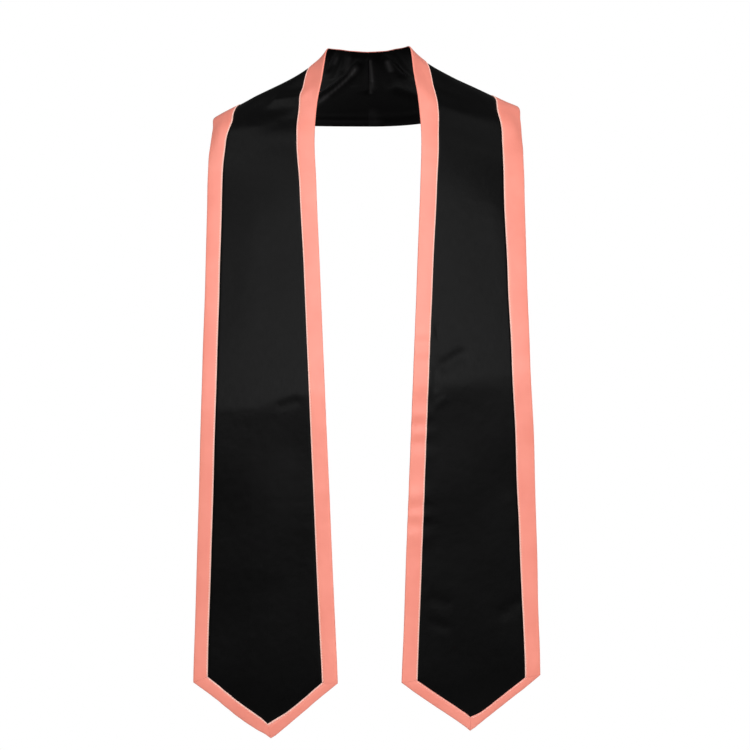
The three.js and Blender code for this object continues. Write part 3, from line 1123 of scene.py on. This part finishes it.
        def place(rows: Array) -> Array:
            """Shares across, from rim to rim, with the middle column always over the tip."""
            inner = self._seam(Edge.INNER, rows[:, None], rim)
            outer = self._seam(Edge.OUTER, rows[:, None], rim[::-1])
            near = mix(inner[:, -1:], tip, fill)
            far = mix(tip, outer[:, :1], fill[:-1])
            return np.hstack([inner, near, far, outer])

        side = place(np.array([float(CORNER_ROW)]))[0]
        shown = self._point_depth(side) - self.tucked * self.plumb
        reach = cloth.point_reach(cloth.under_tip(side, 1.0))
        rows = self._rows(CORNER_ROW + reach - shown / cloth.sizes.point_depth)
        columns = range(len(side))
        across = np.column_stack([place(rows[:, column])[:, column] for column in columns])
        reach = CORNER_ROW + cloth.point_reach(cloth.under_tip(across, 1.0))
        below = (reach - rows) * cloth.sizes.point_depth - self._point_depth(across)
        inner = across - self._seam(Edge.INNER, rows, 0.0)
        outer = self._seam(Edge.OUTER, rows, 0.0) - across
        beside = np.minimum(np.minimum(inner, outer) * NOMINAL_WIDTH, below / self.plumb)
        dip = self.pulled_in * bell(beside - 0.1, 1.0)
        top = self.panel_lift + self.panel_thickness - self._groove(rows)
        under = self.panel_lift + self._groove(rows)
        layout = StripLayout(
            np.hstack([rows, rows[:, ::-1]]),
            np.hstack([across, across[:, ::-1]]),
            np.hstack([top - dip, (under - dip * 0.2)[:, ::-1]]),
        )
        return layout.piece(f"{cloth.side.value}_panel_cloth", cloth)

    def _section(self) -> tuple[Array, Array, Array, Array]:
        """A band's closed section: shares, offsets, lifts and painted highlight, over the top and back.
        """
        share = np.concatenate([BAND_TOP["share"], BAND_TOP["share"][::-1]])
        offset = np.concatenate([BAND_TOP["offset"], BAND_TOP["offset"][::-1]])
        from_seam = self.cloth.sizes.band_width * (1 - BAND_TOP["share"]) - BAND_TOP["offset"]
        over_panel = from_seam < self.tucked + BAND_CLEARANCE
        under = np.where(over_panel, BAND_OVER_PANEL_LIFT, BAND_UNDER_LIFT)
        # A painted highlight along the band's edge at the seam.
        painted_highlight = bell(offset, self.highlight_reach) * (share == 1)
        return share, offset, np.concatenate([BAND_TOP["lift"], under[::-1]]), painted_highlight

    def side_band(self, edge: Edge) -> bpy.types.Object:
        """A band down one long edge, cut to a mitre above the point.

        Args:
            edge: Which edge.

        Returns:
            The band.
        """
        cloth = self.cloth
        share, offset, lift, painted_highlight = self._section()
        width = cloth.band_width(edge, np.array([float(CORNER_ROW)]))
        end = self._mitre(edge, share + offset / width) - MITRE_GAP / cloth.sizes.point_depth
        rows = self._rows(end)
        beside = share * cloth.band_width(edge, rows) + offset
        beside = beside / cloth.width_square_to(edge, rows)
        across = beside if edge is Edge.INNER else 1 - beside
        lift = lift - self._groove(rows) * (lift > self.grooved_above)
        layout = StripLayout(rows, across, lift, edge is Edge.OUTER, painted_highlight)
        return layout.piece(f"{cloth.side.value}_{edge.value}_band_ribbon", cloth)

    def point_band(self, edge: Edge) -> bpy.types.Object:
        """A band along one side of the point, mitred at the corner and at the tip.

        Args:
            edge: The long edge it starts from.

        Returns:
            The band.
        """
        cloth, inner = self.cloth, edge is Edge.INNER
        share, offset, lift, painted_highlight = self._section()
        deep, tip = cloth.half.point_bands[edge], cloth.half.point_share
        part = share + offset * self.plumb / deep
        beside = self._corner_share(edge) * part
        gap = MITRE_GAP / NOMINAL_WIDTH * (1 if inner else -1)
        steps = np.linspace(0, 1, 30)[:, None]
        last = tip + cloth.half.seam_lean * part - gap
        across = mix((beside if inner else 1 - beside) + gap, last, steps)
        if not inner:
            across = across[::-1]
        reach = cloth.point_reach(cloth.under_tip(across, part))
        rows = CORNER_ROW + reach - part * cloth.point_band(edge, across) / cloth.sizes.point_depth
        lift = np.broadcast_to(lift, rows.shape)
        layout = StripLayout(rows, across, lift, False, painted_highlight * cloth.half.point_highlight)
        return layout.piece(f"{cloth.side.value}_{edge.value}_point_ribbon", cloth)

    def side_stitches(self, edge: Edge) -> bpy.types.Object:
        """The stitches that hold a side band's seam."""
        cloth = self.cloth
        part = 1 - STITCH_INSET / cloth.band_width(edge, np.array([float(CORNER_ROW)]))
        row = np.linspace(0, float(self._mitre(edge, part)[0]), 3000)
        across = self._seam(edge, row, STITCH_INSET)
        return self.stitching.piece(f"{cloth.side.value}_{edge.value}_stitches", cloth, row, across)

    def point_stitches(self, edge: Edge) -> bpy.types.Object:
        """The stitches that hold a point band's seam."""
        cloth, deep = self.cloth, self.cloth.half.point_bands[edge]
        part = 1 - STITCH_INSET * self.plumb / deep
        beside = self._corner_share(edge) * part
        last = cloth.half.point_share + cloth.half.seam_lean * part
        across = np.linspace(beside if edge is Edge.INNER else 1 - beside, last, 600)
        reach = cloth.point_reach(cloth.under_tip(across, part))
        row = CORNER_ROW + reach - part * cloth.point_band(edge, across) / cloth.sizes.point_depth
        name = f"{cloth.side.value}_{edge.value}_point_stitches"
        return self.stitching.piece(name, cloth, row, across)


Colour = tuple[float, float, float]
Socket = bpy.types.NodeSocket
Tone = Socket | tuple[float, float, float, float]
Values = dict[str | int, Tone | float]


class NodeTree:
    """The nodes of a material or a world, with short ways to add and join them."""

    def __init__(self, owner: bpy.types.Material | bpy.types.World) -> None:
        """Takes the owner's nodes.

        Args:
            owner: The material or world.
        """
        owner.use_nodes = True
        self.owner = owner
        self.nodes = owner.node_tree.nodes

    def fill(self, node: bpy.types.Node, values: Values) -> None:
        """Joins or sets the inputs of a node.

        Args:
            node: The node.
            values: A socket to join or a value to set, by the input's name or number.
        """
        for name, value in values.items():
            if isinstance(value, Socket):
                self.owner.node_tree.links.new(value, node.inputs[name])
            else:
                node.inputs[name].default_value = value

    def add(self, kind: str, out: str | int, values: Values, **settings: str) -> Socket:
        """Adds a node.

        Args:
            kind: Its type, without the word ShaderNode.
            out: The output that is asked for.
            values: Its inputs, as fill takes them.
            settings: Its own settings.

        Returns:
            The output.
        """
        node = self.nodes.new(f"ShaderNode{kind}")
        for name, value in settings.items():
            setattr(node, name, value)
        self.fill(node, values)
        return node.outputs[out]

    def place(self, uv: bool = False) -> Socket:
        """Object coordinates, or the piece's own UV map in metres."""
        if uv:
            return self.add("UVMap", "UV", {}, uv_map="weave")
        return self.add("TexCoord", "Object", {})

    def noise(self, place: Socket, scale: float, detail: float) -> Socket:
        """Cloudy noise from 0 to 1, of so many features a metre and so many octaves."""
        return self.add("TexNoise", "Fac", {"Vector": place, "Scale": scale, "Detail": detail})

    def threads(self, place: Socket, pitch: float, axis: str) -> Socket:
        """A sine wave from 0 to 1 for threads that cross the X or Y axis, a pitch apart."""
        values = {"Vector": place, "Scale": math.pi / 10 / pitch, "Distortion": 0.0}
        return self.add("TexWave", "Fac", values, bands_direction=axis)

    def between(self, value: Socket, low: float, high: float) -> Socket:
        """A value from 0.3 to 0.7 mapped to low to high."""
        span = {"From Min": 0.3, "From Max": 0.7, "To Min": low, "To Max": high}
        return self.add("MapRange", "Result", {"Value": value, **span})

    def mixed(self, first: Tone, second: Tone, share: Socket) -> Socket:
        """Two tones, mixed by a share from 0 to 1."""
        values = {"Factor": share, 6: first, 7: second}
        return self.add("Mix", 2, values, data_type="RGBA")

    def mottled(self, cloud: Socket, dark: Colour, light: Colour) -> Socket:
        """Two tones, mixed by a noise from 0.3 to 0.7."""
        return self.mixed((*dark, 1.0), (*light, 1.0), self.between(cloud, 0.0, 1.0))

    def bump(self, height: Socket, depth: float, under: Socket | None = None) -> Socket:
        """Relief in the shading.

        Args:
            height: Its height, from 0 to 1.
            depth: Metres from 0 to 1.
            under: A coarser relief that it lies on.

        Returns:
            The normal.
        """
        values = {"Strength": 1.0, "Distance": depth, "Height": height}
        if under is not None:
            values["Normal"] = under
        return self.add("Bump", "Normal", values)

    def shade(self, values: Values) -> bpy.types.Material:
        """Sets the material's shader and gives the material."""
        self.fill(self.nodes["Principled BSDF"], values)
        return self.owner


@dataclass(frozen=True)
class Satin:
    """A satin cloth: long fine threads, a soft gloss and slow changes of tone."""

    name: str
    dark: Colour
    light: Colour
    roughness: float
    specular: float
    sheen: float
    anisotropy: float
    thread: float = 0.00045
    float_length: float = 0.0021
    thread_depth: float = 0.000012
    crinkle_depth: float = 0.00025
    crest_highlight: Colour | None = None  # tone of the painted highlight on crests and seam edges, where the cloth has them

    def material(self) -> bpy.types.Material:
        """Makes the material.

        The weave is a wave across the threads times a wave along them, broken up by noise that is
        drawn out along the threads. A slow noise gives the crinkle.
        """
        nodes = NodeTree(bpy.data.materials.new(self.name))
        cloth, space = nodes.place(uv=True), nodes.place()
        drawn_out = nodes.add("Mapping", "Vector", {"Vector": cloth, "Scale": (1.0, 0.12, 1.0)})
        slub = nodes.noise(drawn_out, 900.0, 2.0)
        tone = nodes.mottled(nodes.noise(space, 26.0, 3.0), self.dark, self.light)
        # Mixes in a painted highlight tone where the mesh asks for one.
        if self.crest_highlight is not None:
            crest_highlight = nodes.add("Attribute", "Fac", {}, attribute_name="crest_highlight")
            tone = nodes.mixed(tone, (*self.crest_highlight, 1.0), crest_highlight)
        across = nodes.threads(cloth, self.thread, "X")
        along = nodes.threads(cloth, self.float_length, "Y")
        weave = nodes.add("Math", "Value", {0: across, 1: along}, operation="MULTIPLY")
        crinkle = nodes.bump(nodes.noise(space, 95.0, 2.0), self.crinkle_depth)
        slubbed = nodes.bump(slub, self.thread_depth * 2, crinkle)
        return nodes.shade(
            {
                "Base Color": tone,
                "Roughness": nodes.between(slub, self.roughness - 0.05, self.roughness + 0.05),
                "Specular IOR Level": self.specular,
                "Sheen Weight": self.sheen,
                "Sheen Roughness": 0.4,
                "Anisotropic": self.anisotropy,
                "Normal": nodes.bump(weave, self.thread_depth, slubbed),
            }
        )


@dataclass(frozen=True)
class Thread:
    """Twisted sewing thread."""

    name: str
    dark: Colour
    light: Colour
    roughness: float = 0.5

    def material(self) -> bpy.types.Material:
        """Makes the material, whose twist is a fine noise."""
        nodes = NodeTree(bpy.data.materials.new(self.name))
        twist = nodes.noise(nodes.place(), 2600.0, 1.0)
        return nodes.shade(
            {
                "Base Color": nodes.mottled(twist, self.dark, self.light),
                "Roughness": self.roughness,
                "Specular IOR Level": 0.3,
                "Sheen Weight": 0.15,
                "Normal": nodes.bump(twist, 0.00005),
            }
        )


BLACK_SATIN = Satin(
    "black_satin",
    dark=(0.0006, 0.0006, 0.0006),
    light=(0.0010, 0.0010, 0.0011),
    roughness=0.36,
    specular=0.088,
    sheen=0.0,
    anisotropy=0.3,
)
BLACK_LINING = Satin(
    "black_lining",
    dark=(0.0007, 0.0006, 0.0007),
    light=(0.0010, 0.0009, 0.0010),
    # painted highlight tone on the lining's crests
    crest_highlight=(0.042, 0.040, 0.041),
    roughness=0.34,
    specular=0.045,
    sheen=0.0,
    anisotropy=0.2,
    thread=0.00035,
)
CORAL_SATIN = Satin(
    "coral_satin",
    dark=(0.88, 0.262, 0.196),
    light=(0.94, 0.304, 0.231),
    # painted highlight tone along the bands' seam edges
    crest_highlight=(0.97, 0.62, 0.53),
    roughness=0.40,
    specular=0.5,
    sheen=0.03,
    anisotropy=0.3,
)
# paler than the ribbon: partly the thread's own tone, partly a painted highlight along the seam edges
CORAL_THREAD = Thread("coral_thread", dark=(0.95, 0.62, 0.54), light=(0.98, 0.72, 0.64))


class Wardrobe:
    """Dresses the pieces: their materials, slots, body and the solid each stands for."""

    def __init__(self) -> None:
        """Makes every material once."""
        self.finishes = {
            "black_satin": BLACK_SATIN.material(),
            "black_lining": BLACK_LINING.material(),
            "coral_satin": CORAL_SATIN.material(),
        }
        self.thread = CORAL_THREAD.material()

    def dress(self, piece: bpy.types.Object, slot: str, node: str) -> bpy.types.Object:
        """Gives a piece its finish and puts it in its node's place.

        Args:
            piece: The piece.
            slot: The material slot.
            node: The solid it stands for.

        Returns:
            The piece.
        """
        piece.data.materials.append(self.finishes[slot])
        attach(piece, BODY)
        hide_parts(node)
        LOG.info("%s: %d faces", piece.name, len(piece.data.polygons))
        return piece

    def sew(self, piece: bpy.types.Object) -> bpy.types.Object:
        """Gives a row of stitches its thread."""
        piece.data.materials.append(self.thread)
        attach(piece, BODY)
        LOG.info("%s: %d faces", piece.name, len(piece.data.polygons))
        return piece


@dataclass
class Stole:
    """The whole stole, half by half."""

    wardrobe: Wardrobe
    lining_cut: tuple[float, float] = (0.146, 0.826)
    panel_cut: tuple[float, float] = (0.131, 0.806)
    lining_area: float = 0.092
    panel_area: float = 0.0695

    def make_half(self, side: Side) -> None:
        """Makes and dresses one half.

        Args:
            side: Which half.
        """
        half = HalfStole(HalfCloth(side, ClothSizes()))
        dress, name = self.wardrobe.dress, side.value
        lining = dress(half.lining(), "black_lining", f"{name}_lining")
        panel = dress(half.panel(), "black_satin", f"{name}_panel")
        trims = []
        for edge in Edge:
            trims += [
                dress(half.side_band(edge), "coral_satin", f"{name}_{edge.value}_band"),
                dress(half.point_band(edge), "coral_satin", f"{name}_{edge.value}_point_band"),
                self.wardrobe.sew(half.side_stitches(edge)),
                self.wardrobe.sew(half.point_stitches(edge)),
            ]


@dataclass(frozen=True)
class Lamp:
    """A rectangular studio light that faces a point on the stole."""

    name: str
    place: Colour
    size: tuple[float, float]
    power: float
    colour: Colour = (1.0, 1.0, 1.0)
    target: Colour = (0.0, -0.1, -0.33)

    def light(self) -> None:
        """Puts the light in the scene."""
        data = bpy.data.lights.new(self.name, "AREA")
        data.shape = "RECTANGLE"
        data.size, data.size_y = self.size
        data.energy = self.power
        data.color = self.colour
        lamp = add_object(self.name, data)
        lamp.location = self.place
        way = Vector(self.target) - Vector(self.place)
        lamp.rotation_euler = way.to_track_quat("-Z", "Y").to_euler()


@dataclass
class Studio:
    """The camera, soft lights, a white backdrop and a pale floor."""

    camera_place: Colour = (0.0068, -3.640, -0.3233)
    lens: float = 174.0
    floor_height: float = -1.0
    floor_reach: tuple[float, float, float, float] = (-2.5, -1.1, 2.5, 2.5)
    ambient: float = 0.15
    lamps: tuple[Lamp, ...] = (
        Lamp("front_softbox", (0.50, -2.42, 0.43), (4.1, 1.25), 47.5),
        Lamp("upper_softbox", (0.05, -1.78, 1.55), (3.2, 1.36), 28.5),
        Lamp("left_softbox", (-1.30, -0.74, 2.00), (1.5, 0.8), 7.5),
        Lamp("right_softbox", (1.75, -0.70, 2.00), (1.4, 0.9), 5.0),
        Lamp("low_softbox", (0.75, -2.55, -0.55), (2.4, 0.3), 3.5),
        Lamp("back_softbox", (0.90, 2.30, -0.30), (1.6, 1.0), 30.0),
    )

    def build(self) -> None:
        """Makes the studio."""
        self._camera()
        self._world()
        self._floor()
        for lamp in self.lamps:
            lamp.light()
        scene = bpy.context.scene
        scene.view_settings.view_transform = "Standard"
        scene.view_settings.look = "None"

    def _camera(self) -> None:
        """A level camera in front of the chest."""
        data = bpy.data.cameras.new("camera")
        data.sensor_width = 36.0
        data.lens = self.lens
        data.clip_end = 50.0
        camera = add_object("camera", data)
        camera.location = self.camera_place
        camera.rotation_euler = (math.radians(90), 0, 0)
        bpy.context.scene.camera = camera

    def _world(self) -> None:
        """White behind the stole, and a dimmer grey light on it from all round."""
        world = bpy.data.worlds.new("studio")
        nodes = NodeTree(world)
        nodes.nodes.clear()
        white = (1.0, 1.0, 1.0, 1.0)
        lit = nodes.add("Background", 0, {"Color": white, "Strength": self.ambient})
        seen = nodes.add("Background", 0, {"Color": white})
        ray = nodes.add("LightPath", "Is Camera Ray", {})
        mixed = nodes.add("MixShader", 0, {"Fac": ray, 1: lit, 2: seen})
        nodes.fill(nodes.nodes.new("ShaderNodeOutputWorld"), {"Surface": mixed})
        bpy.context.scene.world = world

    def _floor(self) -> None:
        """A pale floor, just below what the camera sees."""
        left, near, right, far = self.floor_reach
        corners = [(left, near), (right, near), (right, far), (left, far)]
        mesh = bpy.data.meshes.new("floor")
        mesh.from_pydata([(x, y, self.floor_height) for x, y in corners], [], [(0, 1, 2, 3)])
        floor = add_object("floor", mesh)
        nodes = NodeTree(bpy.data.materials.new("pale_floor"))
        paint = nodes.mottled(nodes.noise(nodes.place(), 3.0, 2.0), (0.66,) * 3, (0.70,) * 3)
        mesh.materials.append(nodes.shade({"Base Color": paint, "Roughness": 0.85}))


def main() -> None:
    """Loads the frame and builds the studio and the stole."""
    logging.basicConfig(level=logging.INFO, format="%(name)s: %(message)s")
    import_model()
    Studio().build()
    stole = Stole(Wardrobe())
    for side in Side:
        stole.make_half(side)


if __name__ == "__main__":
    main()
